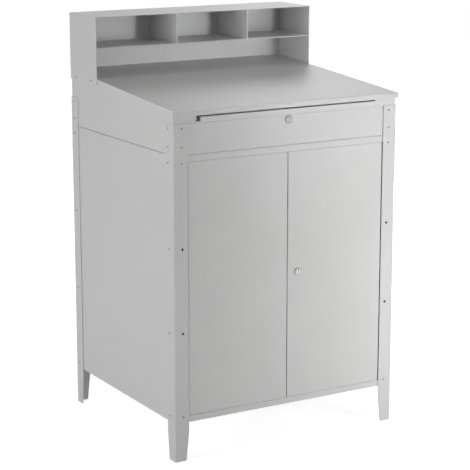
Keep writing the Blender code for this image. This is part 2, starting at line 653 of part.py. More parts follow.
def build():
    for leftover in list(bpy.data.objects):
        bpy.data.objects.remove(leftover, do_unlink=True)
    cabinet = make_frame("cabinet_frame", (0.0, 0.0, 0.0))
    make_legs(cabinet)
    make_body_panels(cabinet)
    make_pans(cabinet)
    make_front_rail(cabinet)
    make_desk_top(cabinet)
    make_riser(cabinet)
    make_shelf(cabinet)
    make_runners(cabinet)
    make_drawer_strike(cabinet)
    make_catch(cabinet)

    drawer = make_frame("drawer_frame", (0.0, BODY_FRONT_Y, DRAWER_LOW), cabinet)
    make_drawer(drawer)
    drawer_key = (0.0, DRAWER_LOCK_HEIGHT)
    drawer_plug = make_frame("drawer_lock_frame", (0.0, BODY_FRONT_Y, DRAWER_LOCK_HEIGHT), drawer)
    make_lock("drawer_lock", drawer_key, DRAWER_LOCK_LENGTH, DRAWER_CAM_REACH, drawer, drawer_plug)

    left_door = make_frame("door_left_frame", (-PIVOT_X, PIVOT_Y, DOOR_LOW), cabinet)
    make_door(-1, left_door)
    right_door = make_frame("door_right_frame", (PIVOT_X, PIVOT_Y, DOOR_LOW), cabinet)
    panel = make_door(1, right_door)
    door_key = (DOOR_LOCK_X, DOOR_LOCK_HEIGHT)
    cut_lock_hole(panel, door_key, "door_lock_hole", right_door)
    door_plug = make_frame("door_lock_frame", (DOOR_LOCK_X, BODY_FRONT_Y, DOOR_LOCK_HEIGHT), right_door)
    make_lock("door_lock", door_key, DOOR_LOCK_LENGTH, DOOR_CAM_REACH, right_door, door_plug)


build()
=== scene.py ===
import json
import math

import bmesh
import bpy
from mathutils import Matrix, Vector


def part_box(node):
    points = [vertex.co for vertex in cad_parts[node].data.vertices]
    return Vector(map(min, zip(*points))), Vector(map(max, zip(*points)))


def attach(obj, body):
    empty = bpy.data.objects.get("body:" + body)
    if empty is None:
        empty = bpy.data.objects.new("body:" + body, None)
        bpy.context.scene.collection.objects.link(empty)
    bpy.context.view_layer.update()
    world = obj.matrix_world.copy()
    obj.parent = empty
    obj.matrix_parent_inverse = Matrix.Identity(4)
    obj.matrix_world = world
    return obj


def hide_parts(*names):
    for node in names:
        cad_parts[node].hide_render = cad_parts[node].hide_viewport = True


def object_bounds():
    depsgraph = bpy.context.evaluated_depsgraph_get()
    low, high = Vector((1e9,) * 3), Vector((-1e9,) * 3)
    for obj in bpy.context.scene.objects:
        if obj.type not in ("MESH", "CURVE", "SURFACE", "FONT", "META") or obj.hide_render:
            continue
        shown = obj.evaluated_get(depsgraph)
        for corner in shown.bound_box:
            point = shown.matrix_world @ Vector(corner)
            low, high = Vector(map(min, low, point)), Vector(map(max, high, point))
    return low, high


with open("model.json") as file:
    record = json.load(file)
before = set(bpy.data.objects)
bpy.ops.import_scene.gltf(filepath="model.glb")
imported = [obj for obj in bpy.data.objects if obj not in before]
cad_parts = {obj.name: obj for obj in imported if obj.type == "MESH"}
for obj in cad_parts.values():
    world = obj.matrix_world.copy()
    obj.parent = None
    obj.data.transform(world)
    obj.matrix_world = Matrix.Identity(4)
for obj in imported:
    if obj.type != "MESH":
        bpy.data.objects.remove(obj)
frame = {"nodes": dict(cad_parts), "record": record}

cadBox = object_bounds()
nodes = frame["nodes"]
bodies = frame["record"]["behaviour"]["bodies"]
bodyOf = {node: body for body, members in bodies.items() for node in members}
print("frame loaded:", len(nodes), "nodes")


# finishes

def addNode(tree, kind, **settings):
    node = tree.nodes.new(kind)
    for key, value in settings.items():
        setattr(node, key, value)
    return node


def startFinish(name):
    material = bpy.data.materials.new(name)
    material.use_nodes = True
    tree = material.node_tree
    place = addNode(tree, "ShaderNodeTexCoord").outputs["Object"]
    return material, tree, tree.nodes["Principled BSDF"], place


def noiseOn(tree, place, scale, detail, stretch=None):
    noise = addNode(tree, "ShaderNodeTexNoise")
    noise.inputs["Scale"].default_value = scale
    noise.inputs["Detail"].default_value = detail
    if stretch:
        squeeze = addNode(tree, "ShaderNodeMapping")
        squeeze.inputs["Scale"].default_value = stretch
        tree.links.new(place, squeeze.inputs["Vector"])
        place = squeeze.outputs["Vector"]
    tree.links.new(place, noise.inputs["Vector"])
    return noise.outputs["Fac"]


def mapped(tree, value, low, high, fromLow=0.3, fromHigh=0.7):
    # noise lies mostly between 0.3 and 0.7
    spread = addNode(tree, "ShaderNodeMapRange")
    spread.inputs["From Min"].default_value = fromLow
    spread.inputs["From Max"].default_value = fromHigh
    spread.inputs["To Min"].default_value = low
    spread.inputs["To Max"].default_value = high
    tree.links.new(value, spread.inputs["Value"])
    return spread.outputs["Result"]


def mathOn(tree, operation, *values):
    node = addNode(tree, "ShaderNodeMath", operation=operation)
    for socket, value in zip(node.inputs, values):
        if isinstance(value, (int, float)):
            socket.default_value = value
        else:
            tree.links.new(value, socket)
    return node.outputs["Value"]


def tinted(tree, colour, factor):
    shade = addNode(tree, "ShaderNodeMix", data_type="RGBA", blend_type="MULTIPLY")
    shade.inputs["Factor"].default_value = 1.0
    shade.inputs["A"].default_value = (*colour, 1.0)
    grey = addNode(tree, "ShaderNodeCombineColor")
    for channel in ("Red", "Green", "Blue"):
        tree.links.new(factor, grey.inputs[channel])
    tree.links.new(grey.outputs["Color"], shade.inputs["B"])
    return shade.outputs["Result"]


def bumpOn(tree, shader, layers):
    normal = None
    for height, strength, distance in layers:
        bump = addNode(tree, "ShaderNodeBump")
        bump.inputs["Strength"].default_value = strength
        bump.inputs["Distance"].default_value = distance
        tree.links.new(height, bump.inputs["Height"])
        if normal is not None:
            tree.links.new(normal, bump.inputs["Normal"])
        normal = bump.outputs["Normal"]
    tree.links.new(normal, shader.inputs["Normal"])


def seenDirectly(tree):
    # one for rays from the camera, off gloss or through glass, nought for the rest
    path = addNode(tree, "ShaderNodeLightPath")
    seen = mathOn(tree, "MAXIMUM", path.outputs["Is Camera Ray"], path.outputs["Is Glossy Ray"])
    return mathOn(tree, "MAXIMUM", seen, path.outputs["Is Transmission Ray"])


paintLook = {
    "colour": (0.620, 0.618, 0.617),  # light grey powder coat
    "mottleScale": 4.0, "mottle": 0.025,
    "speckScale": 620.0, "speck": 0.02,
    "edgeLift": 0.10,                 # thinner, rubbed paint on folds and cut edges
    "rubScale": 60.0, "rubLeast": 0.2, "rubShine": 0.06,
    "roughLow": 0.40, "roughHigh": 0.50,
    "peelScale": 520.0, "peelStrength": 0.35, "peelDepth": 0.00012,
    "waveScale": 5.5, "waveStrength": 0.25, "waveDepth": 0.0006,
}


def makePaint(look):
    material, tree, shader, place = startFinish("greyPaint")
    mottle = noiseOn(tree, place, look["mottleScale"], detail=3.0)
    speck = noiseOn(tree, place, look["speckScale"], detail=1.0)
    rub = noiseOn(tree, place, look["rubScale"], detail=3.0)
    peel = noiseOn(tree, place, look["peelScale"], detail=2.0)
    wave = noiseOn(tree, place, look["waveScale"], detail=1.0)
    tone = mathOn(tree, "MULTIPLY",
                  mapped(tree, mottle, 1 - look["mottle"], 1 + look["mottle"]),
                  mapped(tree, speck, 1 - look["speck"], 1 + look["speck"]))
    edge = addNode(tree, "ShaderNodeAttribute", attribute_name="edgeWear").outputs["Fac"]
    worn = mathOn(tree, "MULTIPLY", edge, mapped(tree, rub, look["rubLeast"], 1.0))
    tone = mathOn(tree, "MULTIPLY", tone, mathOn(tree, "MULTIPLY_ADD", worn, look["edgeLift"], 1.0))
    tree.links.new(tinted(tree, look["colour"], tone), shader.inputs["Base Color"])
    rough = mapped(tree, mottle, look["roughLow"], look["roughHigh"])
    rough = mathOn(tree, "SUBTRACT", rough, mathOn(tree, "MULTIPLY", worn, look["rubShine"]))
    tree.links.new(rough, shader.inputs["Roughness"])
    bumpOn(tree, shader, [(wave, look["waveStrength"], look["waveDepth"]),
                          (peel, look["peelStrength"], look["peelDepth"])])
    return material


zincLook = {
    "colour": (0.60, 0.61, 0.625),
    "spangleScale": 140.0, "spangle": 0.10,
    "drawScale": 260.0, "drawStretch": (1.0, 0.05, 1.0),  # fine lines along the rolled strip
    "drawStrength": 0.15, "drawDepth": 0.00005,
    "roughLow": 0.28, "roughHigh": 0.44,
}


def makeZinc(look):
    material, tree, shader, place = startFinish("zincSteel")
    shader.inputs["Metallic"].default_value = 1.0
    spangle = addNode(tree, "ShaderNodeTexVoronoi")
    spangle.inputs["Scale"].default_value = look["spangleScale"]
    tree.links.new(place, spangle.inputs["Vector"])
    cell = addNode(tree, "ShaderNodeSeparateColor")
    tree.links.new(spangle.outputs["Color"], cell.inputs["Color"])
    tone = mapped(tree, cell.outputs["Red"], 1 - look["spangle"], 1 + look["spangle"], 0.0, 1.0)
    tree.links.new(tinted(tree, look["colour"], tone), shader.inputs["Base Color"])
    drawn = noiseOn(tree, place, look["drawScale"], 2.0, look["drawStretch"])
    tree.links.new(mapped(tree, drawn, look["roughLow"], look["roughHigh"]), shader.inputs["Roughness"])
    bumpOn(tree, shader, [(drawn, look["drawStrength"], look["drawDepth"])])
    return material


chromeLook = {
    "colour": (0.66, 0.66, 0.67), "metal": 1.0, "specular": 0.5,
    "grainScale": 240.0, "grainDetail": 3.0, "grainStrength": 0.05, "grainDepth": 0.00004,
    "toneLow": 0.96, "toneHigh": 1.03, "roughLow": 0.12, "roughHigh": 0.22,
}
nickelLook = dict(chromeLook, colour=(0.42, 0.415, 0.405), grainScale=420.0, roughLow=0.24, roughHigh=0.34)
recessShadeLook = {  # painted shade: a near-black colour standing in for the shade deep in sockets, nuts and keyways
    "colour": (0.030, 0.029, 0.028), "metal": 0.0, "specular": 0.2,
    "grainScale": 900.0, "grainDetail": 2.0, "grainStrength": 0.0, "grainDepth": 0.0,
    "toneLow": 0.7, "toneHigh": 1.3, "roughLow": 0.45, "roughHigh": 0.7,
}
plasticLook = {
    "colour": (0.035, 0.035, 0.037), "metal": 0.0, "specular": 0.5,
    "grainScale": 1500.0, "grainDetail": 2.0, "grainStrength": 0.3, "grainDepth": 0.0001,
    "toneLow": 0.85, "toneHigh": 1.2, "roughLow": 0.45, "roughHigh": 0.62,
}


def makeGrained(name, look):
    # colour, roughness and bump all follow one fine grain
    material, tree, shader, place = startFinish(name)
    shader.inputs["Metallic"].default_value = look["metal"]
    shader.inputs["Specular IOR Level"].default_value = look["specular"]
    grain = noiseOn(tree, place, look["grainScale"], look["grainDetail"])
    tone = mapped(tree, grain, look["toneLow"], look["toneHigh"])
    tree.links.new(tinted(tree, look["colour"], tone), shader.inputs["Base Color"])
    tree.links.new(mapped(tree, grain, look["roughLow"], look["roughHigh"]), shader.inputs["Roughness"])
    if look["grainDepth"]:
        bumpOn(tree, shader, [(grain, look["grainStrength"], look["grainDepth"])])
    return material


greyPaint = makePaint(paintLook)
zincSteel = makeZinc(zincLook)
polishedChrome = makeGrained("polishedChrome", chromeLook)
satinNickel = makeGrained("satinNickel", nickelLook)
# painted shade for the insides of sockets, rivet nuts and keyways
paintedRecessShade = makeGrained("paintedRecessShade", recessShadeLook)
blackPlastic = makeGrained("blackPlastic", plasticLook)
print("finishes made: paint, zinc, chrome, nickel, recess, plastic")


# mesh helpers

smoothAngle = math.radians(40)
flatAngle = math.radians(1)
weldGap = 1e-6
hairGap = 1e-5    # anything shorter counts as touching


def pieceName(node):
    first, *rest = node.split("_")
    return first + "".join(word.capitalize() for word in rest)


def placePiece(name, mesh, materials, body, stoodFor=()):
    data = bpy.data.meshes.new(name)
    mesh.to_mesh(data)
    mesh.free()
    data.shade_smooth()
    data.set_sharp_from_angle(angle=smoothAngle)
    for material in materials:
        data.materials.append(material)
    piece = bpy.data.objects.new(name, data)
    bpy.context.scene.collection.objects.link(piece)
    evenNormals = piece.modifiers.new("evenNormals", "WEIGHTED_NORMAL")
    evenNormals.keep_sharp = True
    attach(piece, body)
    if stoodFor:
        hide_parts(*stoodFor)


def copyNode(node):
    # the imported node's mesh, welded, with flat triangles joined up
    mesh = bmesh.new()
    mesh.from_mesh(nodes[node].data)
    mesh.faces.layers.float.new("edgeWear")
    bmesh.ops.remove_doubles(mesh, verts=mesh.verts, dist=weldGap)
    bmesh.ops.dissolve_limit(mesh, angle_limit=flatAngle, verts=mesh.verts, edges=mesh.edges)
    bmesh.ops.recalc_face_normals(mesh, faces=mesh.faces)
    return mesh


def depthInside(loop):
    # how far the loop's face runs inwards from the middle of the loop's edge
    start, end = loop.vert.co, loop.link_loop_next.vert.co
    along = (end - start).normalized()
    inward = loop.face.normal.cross(along)
    middle = (start + end) / 2
    nearest = math.inf
    for other in loop.face.edges:
        if other == loop.edge:
            continue
        first, second = (corner.co - middle for corner in other.verts)
        sideOne, sideTwo = first.dot(along), second.dot(along)
        if sideOne * sideTwo > 0 or sideOne == sideTwo:
            continue
        share = sideOne / (sideOne - sideTwo)
        reach = first.lerp(second, share).dot(inward)
        if reach > hairGap:
            nearest = min(nearest, reach)
    return nearest


def foldEdges(mesh, sheet, outer):
    # a fold has flat sheet on both sides of it, more than three thicknesses deep
    found = []
    for edge in mesh.edges:
        if len(edge.link_faces) != 2:
            continue
        angle = edge.calc_face_angle_signed()
        if abs(angle) < smoothAngle or (angle > 0) != outer:
            continue
        if min(depthInside(loop) for loop in edge.link_loops) > 3 * sheet:
            found.append(edge)
    return found


def cutEdges(mesh, rimFace=0.0):
    # outer edges left sharp; the rims of punched holes have only small faces and stay as they are
    found = []
    for edge in mesh.edges:
        if len(edge.link_faces) != 2 or edge.calc_face_angle_signed() < smoothAngle:
            continue
        if min(face.calc_area() for face in edge.link_faces) > rimFace:
            found.append(edge)
    return found


def roundEdges(mesh, edges, radius, steps, wear):
    if not edges:
        return
    layer = mesh.faces.layers.float["edgeWear"]
    made = bmesh.ops.bevel(mesh, geom=edges, offset=radius, offset_type="OFFSET", segments=steps,
                           profile=0.5, affect="EDGES", clamp_overlap=True)
    for face in made["faces"]:
        face[layer] = wear


foldMaking = {
    "outerSteps": 5, "innerSteps": 3, "cutSteps": 2,
    "innerLeast": 0.0003,             # radius of an inner fold where the sheet leaves none
    "sliver": 0.08,                   # share of the bend that is welded, or it holds back the next rounding
}


def foldedMesh(node, look):
    # outer folds take the bend radius, inner folds what the sheet leaves of it, cut edges are eased
    mesh = copyNode(node)
    sheet, bend = look["sheet"], look["bend"]
    if bend:
        sliver = foldMaking["sliver"] * bend
        innerBend = max(bend - sheet, foldMaking["innerLeast"])
        roundEdges(mesh, foldEdges(mesh, sheet, True), bend, foldMaking["outerSteps"], look["bendWear"])
        bmesh.ops.remove_doubles(mesh, verts=mesh.verts, dist=sliver)
        roundEdges(mesh, foldEdges(mesh, sheet, False), innerBend, foldMaking["innerSteps"], 0.0)
        bmesh.ops.remove_doubles(mesh, verts=mesh.verts, dist=sliver / 2)
    sharp = cutEdges(mesh, look["rimFace"])
    roundEdges(mesh, sharp, look["eased"], foldMaking["cutSteps"], look["edgeWear"])
    bmesh.ops.dissolve_degenerate(mesh, dist=hairGap, edges=mesh.edges)
    return mesh


def ringMesh(mesh, rings, place, closeStart=True, closeEnd=True, secondFrom=None):
    # skins a row of rings, given as points in the piece's own frame; from ring secondFrom on the
    # faces take the piece's second material
    loops = [[mesh.verts.new(place @ Vector(point)) for point in ring] for ring in rings]
    count = len(loops[0])
    for index, (near, far) in enumerate(zip(loops, loops[1:])):
        for step in range(count):
            after = (step + 1) % count
            face = mesh.faces.new((near[step], near[after], far[after], far[step]))
            face.material_index = int(secondFrom is not None and index >= secondFrom)
    if closeStart:
        mesh.faces.new(list(reversed(loops[0])))
    if closeEnd:
        mesh.faces.new(loops[-1]).material_index = int(secondFrom is not None)
    return loops


def addBlock(mesh, low, high):
    outline = [(low[0], low[1]), (high[0], low[1]), (high[0], high[1]), (low[0], high[1])]
    ringMesh(mesh, [[(x, y, z) for x, y in outline] for z in (low[2], high[2])], Matrix())
    bmesh.ops.recalc_face_normals(mesh, faces=mesh.faces)


def circle(radius, along, segments):
    angles = [2 * math.pi * step / segments for step in range(segments)]
    return [(radius * math.cos(angle), radius * math.sin(angle), along) for angle in angles]


def hexagon(flat, along, segments):
    ring = []
    for step in range(segments):
        angle = 2 * math.pi * step / segments
        offset = (angle + math.pi / 6) % (math.pi / 3) - math.pi / 6
        radius = flat / math.cos(offset)
        ring.append((radius * math.cos(angle), radius * math.sin(angle), along))
    return ring


def facing(at, outward):
    turn = Vector((0, 0, 1)).rotation_difference(Vector(outward)).to_matrix().to_4x4()
    return Matrix.Translation(at) @ turn


def cutWith(name, mesh, cutter):
    # boolean cut of one bmesh by another, given back as a bmesh
    made = []
    for part, label in ((mesh, name + "Blank"), (cutter, name + "Cutter")):
        data = bpy.data.meshes.new(label)
        part.to_mesh(data)
        part.free()
        made.append(bpy.data.objects.new(label, data))
        bpy.context.scene.collection.objects.link(made[-1])
    blank, tool = made
    cut = blank.modifiers.new("cut", "BOOLEAN")
    cut.operation = "DIFFERENCE"
    cut.object = tool
    result = bmesh.new()
    result.from_object(blank, bpy.context.evaluated_depsgraph_get())
    for thing in made:
        bpy.data.objects.remove(thing, do_unlink=True)
    return result


# screws

screwLook = {
    "sides": 24, "radius": 0.0047, "height": 0.0021, "rim": 0.0005,
    "foot": 0.9, "footRise": 0.3,     # shares of the radius and the rim
    "flat": 0.0029, "domeSteps": 5,
    "socket": 0.0021, "depth": 0.0017,  # half across flats
    "leadWidth": 1.12, "lead": 0.0002, "drillEnd": 0.3, "drillDepth": 1.15,
    "shank": 0.0, "shankRadius": 0.0022, "tip": 0.75, "tipLength": 0.0006,
}


def addScrewHead(mesh, at, outward, look):
    # button head with a six-sided socket, seated on a surface
    radius, flat, socket = look["radius"], look["flat"], look["socket"]
    rim, top = look["rim"], look["height"]
    profile = []
    if look["shank"]:
        profile += [(look["shankRadius"] * look["tip"], -look["shank"]),
                    (look["shankRadius"], -look["shank"] + look["tipLength"]),
                    (look["shankRadius"], 0.0)]
    profile += [(radius * look["foot"], 0.0), (radius, rim * look["footRise"]), (radius, rim)]
    for step in range(1, look["domeSteps"] + 1):
        angle = math.pi / 2 * step / look["domeSteps"]
        profile.append((flat + (radius - flat) * math.cos(angle), rim + (top - rim) * math.sin(angle)))
    hollow = [(socket * look["leadWidth"], top), (socket, top - look["lead"]), (socket, top - look["depth"]),
              (socket * look["drillEnd"], top - look["depth"] * look["drillDepth"])]
    rings = [circle(reach, along, look["sides"]) for reach, along in profile]
    rings += [hexagon(reach, along, look["sides"]) for reach, along in hollow]
    # the socket's walls and floor take the second material, a painted shade for the dark hole
    ringMesh(mesh, rings, facing(at, outward), secondFrom=len(rings) - 3)


# legs

legLook = {
    "sheet": 0.0025, "bend": 0.0032, "eased": 0.0005, "rimFace": 0.0, "bendWear": 0.35, "edgeWear": 0.9,
    "levelsBelowTop": (0.014, 0.072, 0.122, 0.392, 0.663, 0.936),
    "fromCorner": 0.029, "fromFront": 0.0325, "fromRear": 0.025,
    "openLevels": (3, 4),             # left as bare holes on the two front faces, each with a rivet nut
    "holeRadius": 0.0040, "holeFromCorner": 0.0305, "holeFlare": 0.0004, "holeSides": 20,
    "nutRadius": 0.0056, "nutLength": 0.0120, "nutGap": 0.0001, "nutPlay": 0.0002, "nutEased": 0.0006,
    "nutFlange": 0.0012, "nutFlangeDepth": 0.0018, "nutRim": 0.0004,
    "nutFloor": 0.0010, "nutCone": 0.0004, "nutConeEnd": 0.4,
}


def holeCutter(mesh, at, outward, look):
    # straight punch with a small flare where it enters the sheet
    radius, flare = look["holeRadius"], look["holeFlare"]
    profile = [(radius, -2 * look["sheet"]), (radius, -flare), (radius + flare, 0.0),
               (radius + 1.5 * flare, flare)]
    rings = [circle(reach, along, look["holeSides"]) for reach, along in profile]
    ringMesh(mesh, rings, facing(at, outward))


def addRivetNut(mesh, at, outward, look):
    # blind barrel behind a hole; its inside takes painted shade, dark as the depth of the hole would be
    bore, shell = look["holeRadius"] + look["nutPlay"], look["nutRadius"]
    back = -look["sheet"] - look["nutGap"]
    end, eased = back - look["nutLength"], look["nutEased"]
    flange, deep, floor = look["nutFlange"], look["nutFlangeDepth"], look["nutFloor"]
    outside = [(shell / 2, end), (shell - eased, end), (shell, end + eased), (shell, back - deep - flange),
               (shell + flange, back - deep), (shell + flange, back - look["nutRim"]),
               (shell + flange / 2, back)]
    inside = [(bore, back), (bore, end + floor + look["nutCone"]), (bore * look["nutConeEnd"], end + floor)]
    rings = [circle(reach, along, look["holeSides"]) for reach, along in outside + inside]
    ringMesh(mesh, rings, facing(at, outward), secondFrom=len(outside))


def makeLeg(end, side, look):
    node = f"leg_{end}_{side}"
    low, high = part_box(node)
    xOut, cornerX = (-1, low.x) if side == "left" else (1, high.x)
    yOut, cornerY = (-1, low.y) if end == "front" else (1, high.y)
    flankInset = look["fromFront"] if end == "front" else look["fromRear"]
    heads, holes, nuts = bmesh.new(), bmesh.new(), bmesh.new()
    for index, drop in enumerate(look["levelsBelowTop"]):
        z = high.z - drop
        isOpen = end == "front" and index in look["openLevels"]
        inset = look["holeFromCorner"] if isOpen else look["fromCorner"]
        face = (Vector((cornerX - xOut * inset, cornerY, z)), (0, yOut, 0))
        flank = (Vector((cornerX, cornerY - yOut * flankInset, z)), (xOut, 0, 0))
        if isOpen:
            holeCutter(holes, *face, look)
            addRivetNut(nuts, *face, look)
        else:
            addScrewHead(heads, *face, screwLook)
        addScrewHead(heads, *flank, screwLook)
    leg = foldedMesh(node, look)
    if end == "front":
        leg = cutWith(pieceName(node), leg, holes)
        placePiece(f"rivetNuts{side.capitalize()}", nuts, [zincSteel, paintedRecessShade], bodyOf[node])
    else:
        holes.free()
        nuts.free()
    placePiece(pieceName(node), leg, [greyPaint], bodyOf[node], [node])
    screws = f"legScrews{end.capitalize()}{side.capitalize()}"
    placePiece(screws, heads, [greyPaint, paintedRecessShade], bodyOf[node])


for end in ("front", "rear"):
    for side in ("left", "right"):
        makeLeg(end, side, legLook)
print("legs made")


# plain and folded sheets

panelLook = {
    "sheet": 0.0015, "bend": 0.0, "eased": 0.0003, "bendWear": 0.0, "edgeWear": 0.8,
    "rimFace": 1e-5,                  # faces no larger than this line a punched hole
}
foldLook = dict(panelLook, bend=0.0020, bendWear=0.35)
tightLook = dict(foldLook, bend=0.0006)
deskLook = dict(panelLook, sheet=0.0020, bend=0.0030, eased=0.0006, rimFace=0.0, bendWear=0.4, edgeWear=1.0)
riserLook = dict(panelLook, sheet=0.0025, eased=0.0006, edgeWear=1.0)
stripLook = dict(panelLook, bend=0.0018, eased=0.00025, rimFace=0.0, edgeWear=0.0)
barLook = dict(panelLook, sheet=0.0080, eased=0.0008, rimFace=0.0, edgeWear=0.0)

sheetGroups = [
    (panelLook, greyPaint, ["lower_side_panel_left", "lower_side_panel_right", "upper_side_panel_left",
                            "upper_side_panel_right", "lower_back_panel", "upper_back_panel", "front_rail",
                            "drawer_side_left", "drawer_side_right", "drawer_floor", "drawer_back"]),
    (foldLook, greyPaint, ["floor_pan", "cabinet_shelf", "door_left", "door_right",
                           "door_stiffener_left", "door_stiffener_right"]),
    (tightLook, greyPaint, ["cabinet_top_pan"]),
    (deskLook, greyPaint, ["desk_top"]),
    (riserLook, greyPaint, ["riser_side_left", "riser_side_right", "riser_back", "riser_top", "riser_shelf",
                            "pigeonhole_divider_left", "pigeonhole_divider_right"]),
    (stripLook, zincSteel, ["drawer_runner_left", "drawer_runner_right", "drawer_strike",
                            "shelf_clip_left_front", "shelf_clip_left_rear",
                            "shelf_clip_right_front", "shelf_clip_right_rear"]),
    (barLook, zincSteel, ["drawer_slide_bar_left", "drawer_slide_bar_right",
                          "door_lock_cam", "drawer_lock_cam", "door_lock_nut", "drawer_lock_nut",
                          "door_pin_left_lower", "door_pin_left_upper",
                          "door_pin_right_lower", "door_pin_right_upper"]),
]


def makeSheets(groups):
    for look, material, members in groups:
        for node in members:
            placePiece(pieceName(node), foldedMesh(node, look), [material], bodyOf[node], [node])


makeSheets(sheetGroups)
print("sheets made:", sum(len(members) for _, _, members in sheetGroups))


# drawer front, with a pressed line at the foot of its pull tab and a pocket behind the notch

frontLook = {
    "tabEnd": 0.3329, "tabFoot": 1.0837, "tabLean": 0.0012, "lineWidth": 0.0016, "lineDepth": 0.0012,
    "notchEnd": 0.3185, "notchFoot": 1.0877,
    "pocketTop": 1.1015, "pocketDepth": 0.0220, "pocketSheet": 0.0008, "pocketGap": 0.0001,
    "pocketEased": 0.0002, "pocketWear": 0.6,
}


def makeDrawerFront(look):
    node = "drawer_front"
    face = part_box(node)[0].y + look["tabLean"]
    foot, depth, width = look["tabFoot"], look["lineDepth"], look["lineWidth"]
    groove = bmesh.new()
    section = [(face - depth, foot - width), (face - depth, foot + width), (face + depth, foot)]
    ringMesh(groove, [[(x, y, z) for y, z in section] for x in (-look["tabEnd"], look["tabEnd"])], Matrix())
    bmesh.ops.recalc_face_normals(groove, faces=groove.faces)
    front = cutWith(pieceName(node), foldedMesh(node, panelLook), groove)
    placePiece(pieceName(node), front, [greyPaint], bodyOf[node], [node])
    wall, back = look["pocketSheet"], face + look["pocketDepth"]
    left, right = -look["tabEnd"], -look["notchEnd"]
    shell, hollow = bmesh.new(), bmesh.new()
    addBlock(shell, (left, face + panelLook["sheet"] + look["pocketGap"], look["notchFoot"] - wall),
             (right + wall, back + wall, look["pocketTop"]))
    addBlock(hollow, (left + wall, face, look["notchFoot"]), (right, back, look["pocketTop"] + wall))
    pocket = cutWith("pullPocket", shell, hollow)
    pocket.faces.layers.float.new("edgeWear")
    roundEdges(pocket, cutEdges(pocket), look["pocketEased"], foldMaking["cutSteps"], look["pocketWear"])
    placePiece("pullPocket", pocket, [greyPaint], bodyOf[node])


makeDrawerFront(frontLook)
print("drawer front made")


# riser screws

riserScrewLook = dict(screwLook, height=0.0016)


def makeRiserScrew(side, place, look):
    node = f"riser_screw_{side}_{place}"
    low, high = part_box(node)
    centre = (low + high) / 2
    outward, proud = (-1, low.x) if side == "left" else (1, high.x)
    look = dict(look, shank=high.x - low.x - look["height"])
    seat = Vector((proud - outward * look["height"], centre.y, centre.z))
    head = bmesh.new()
    addScrewHead(head, seat, (outward, 0, 0), look)
    placePiece(pieceName(node), head, [greyPaint, paintedRecessShade], bodyOf[node], [node])


for side in ("left", "right"):
    for place in ("front", "rear"):
        makeRiserScrew(side, place, riserScrewLook)
print("riser screws made")


# cam locks

lockLook = {
    "segments": 64, "bore": 0.0077,
    "mouth": ((0.0, 0.0010), (0.0, 0.0004), (0.0003, 0.0001), (0.0006, 0.0)),  # out from the bore, and depth
    "bezel": 0.0130, "bezelDepth": 0.0032, "crown": 0.0110, "crownSteps": 8,
    "seal": 0.0020, "sealLip": 0.0003,  # black rubber ring under the bezel, dark also as a painted shade around the bezel's foot
    "barrel": 0.0100, "barrelEased": 0.0004,
    "threadFrom": 0.0020, "threadPitch": 0.0010, "threadDepth": 0.00035,
    "plug": 0.0074, "plugEased": 0.0005, "plugRound": 0.00015,
    "plugRing": 0.0056, "plugHub": 0.0012, "plugSink": 0.0002,
    "slotWidth": 0.0033, "slotHeight": 0.0102, "slotDepth": 0.0050,
    "slotOver": 0.0010, "slotSteps": 6, "slotLip": 0.0004,
}


def makeLockBody(name, look):
    node = name + "_body"
    low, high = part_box(node)
    centre = (low + high) / 2
    place = facing(Vector((centre.x, low.y, centre.z)), (0, 1, 0))
    length = high.y - low.y
    bore, bezel, barrel, count = look["bore"], look["bezel"], look["barrel"], look["segments"]
    bezelDepth, pitch = look["bezelDepth"], look["threadPitch"]
    profile = [(bore + out, depth) for out, depth in look["mouth"]]
    shoulder = bezel - look["crown"]
    drop = bezelDepth - look["seal"] - look["sealLip"]
    for step in range(look["crownSteps"] + 1):
        angle = math.pi / 2 * step / look["crownSteps"]
        profile.append((look["crown"] + shoulder * math.sin(angle), drop * (1 - math.cos(angle))))
    sealShadeFrom = len(profile)
    profile += [(bezel, bezelDepth - look["seal"]), (bezel, bezelDepth), (barrel, bezelDepth)]
    along = bezelDepth + look["threadFrom"]
    while along < length - pitch:
        profile += [(barrel, along), (barrel - look["threadDepth"], along + pitch / 2)]
        along += pitch
    profile += [(barrel, along), (barrel - look["barrelEased"], length), (bore, length)]
    mesh = bmesh.new()
    rings = [circle(radius, distance, count) for radius, distance in profile]
    loops = ringMesh(mesh, rings, place, closeStart=False, closeEnd=False)
    mesh.faces.ensure_lookup_table()
    # the ring under the bezel takes black plastic: a rubber seal, and partly painted shade at the bezel's
    # foot
    for index in range(sealShadeFrom * count, (sealShadeFrom + 1) * count):
        mesh.faces[index].material_index = 1
    for step in range(count):
        after = (step + 1) % count
        mesh.faces.new((loops[-1][step], loops[-1][after], loops[0][after], loops[0][step]))
    bmesh.ops.recalc_face_normals(mesh, faces=mesh.faces)
    placePiece(pieceName(node), mesh, [satinNickel, blackPlastic], bodyOf[node], [node])


def slotCutter(face, look):
    # upright keyway with round ends, reaching out past the face
    half = look["slotWidth"] / 2
    straight = look["slotHeight"] / 2 - half
    outline = []
    for sign in (1, -1):
        for step in range(look["slotSteps"] + 1):
            angle = math.pi * step / look["slotSteps"]
            outline.append((sign * half * math.cos(angle), sign * (straight + half * math.sin(angle))))
    slot = bmesh.new()
    rings = [[(x, z, distance) for x, z in outline] for distance in (-look["slotOver"], look["slotDepth"])]
    ringMesh(slot, rings, Matrix.Translation(face) @ Matrix.Rotation(math.radians(-90), 4, "X"))
    bmesh.ops.recalc_face_normals(slot, faces=slot.faces)
    return slot


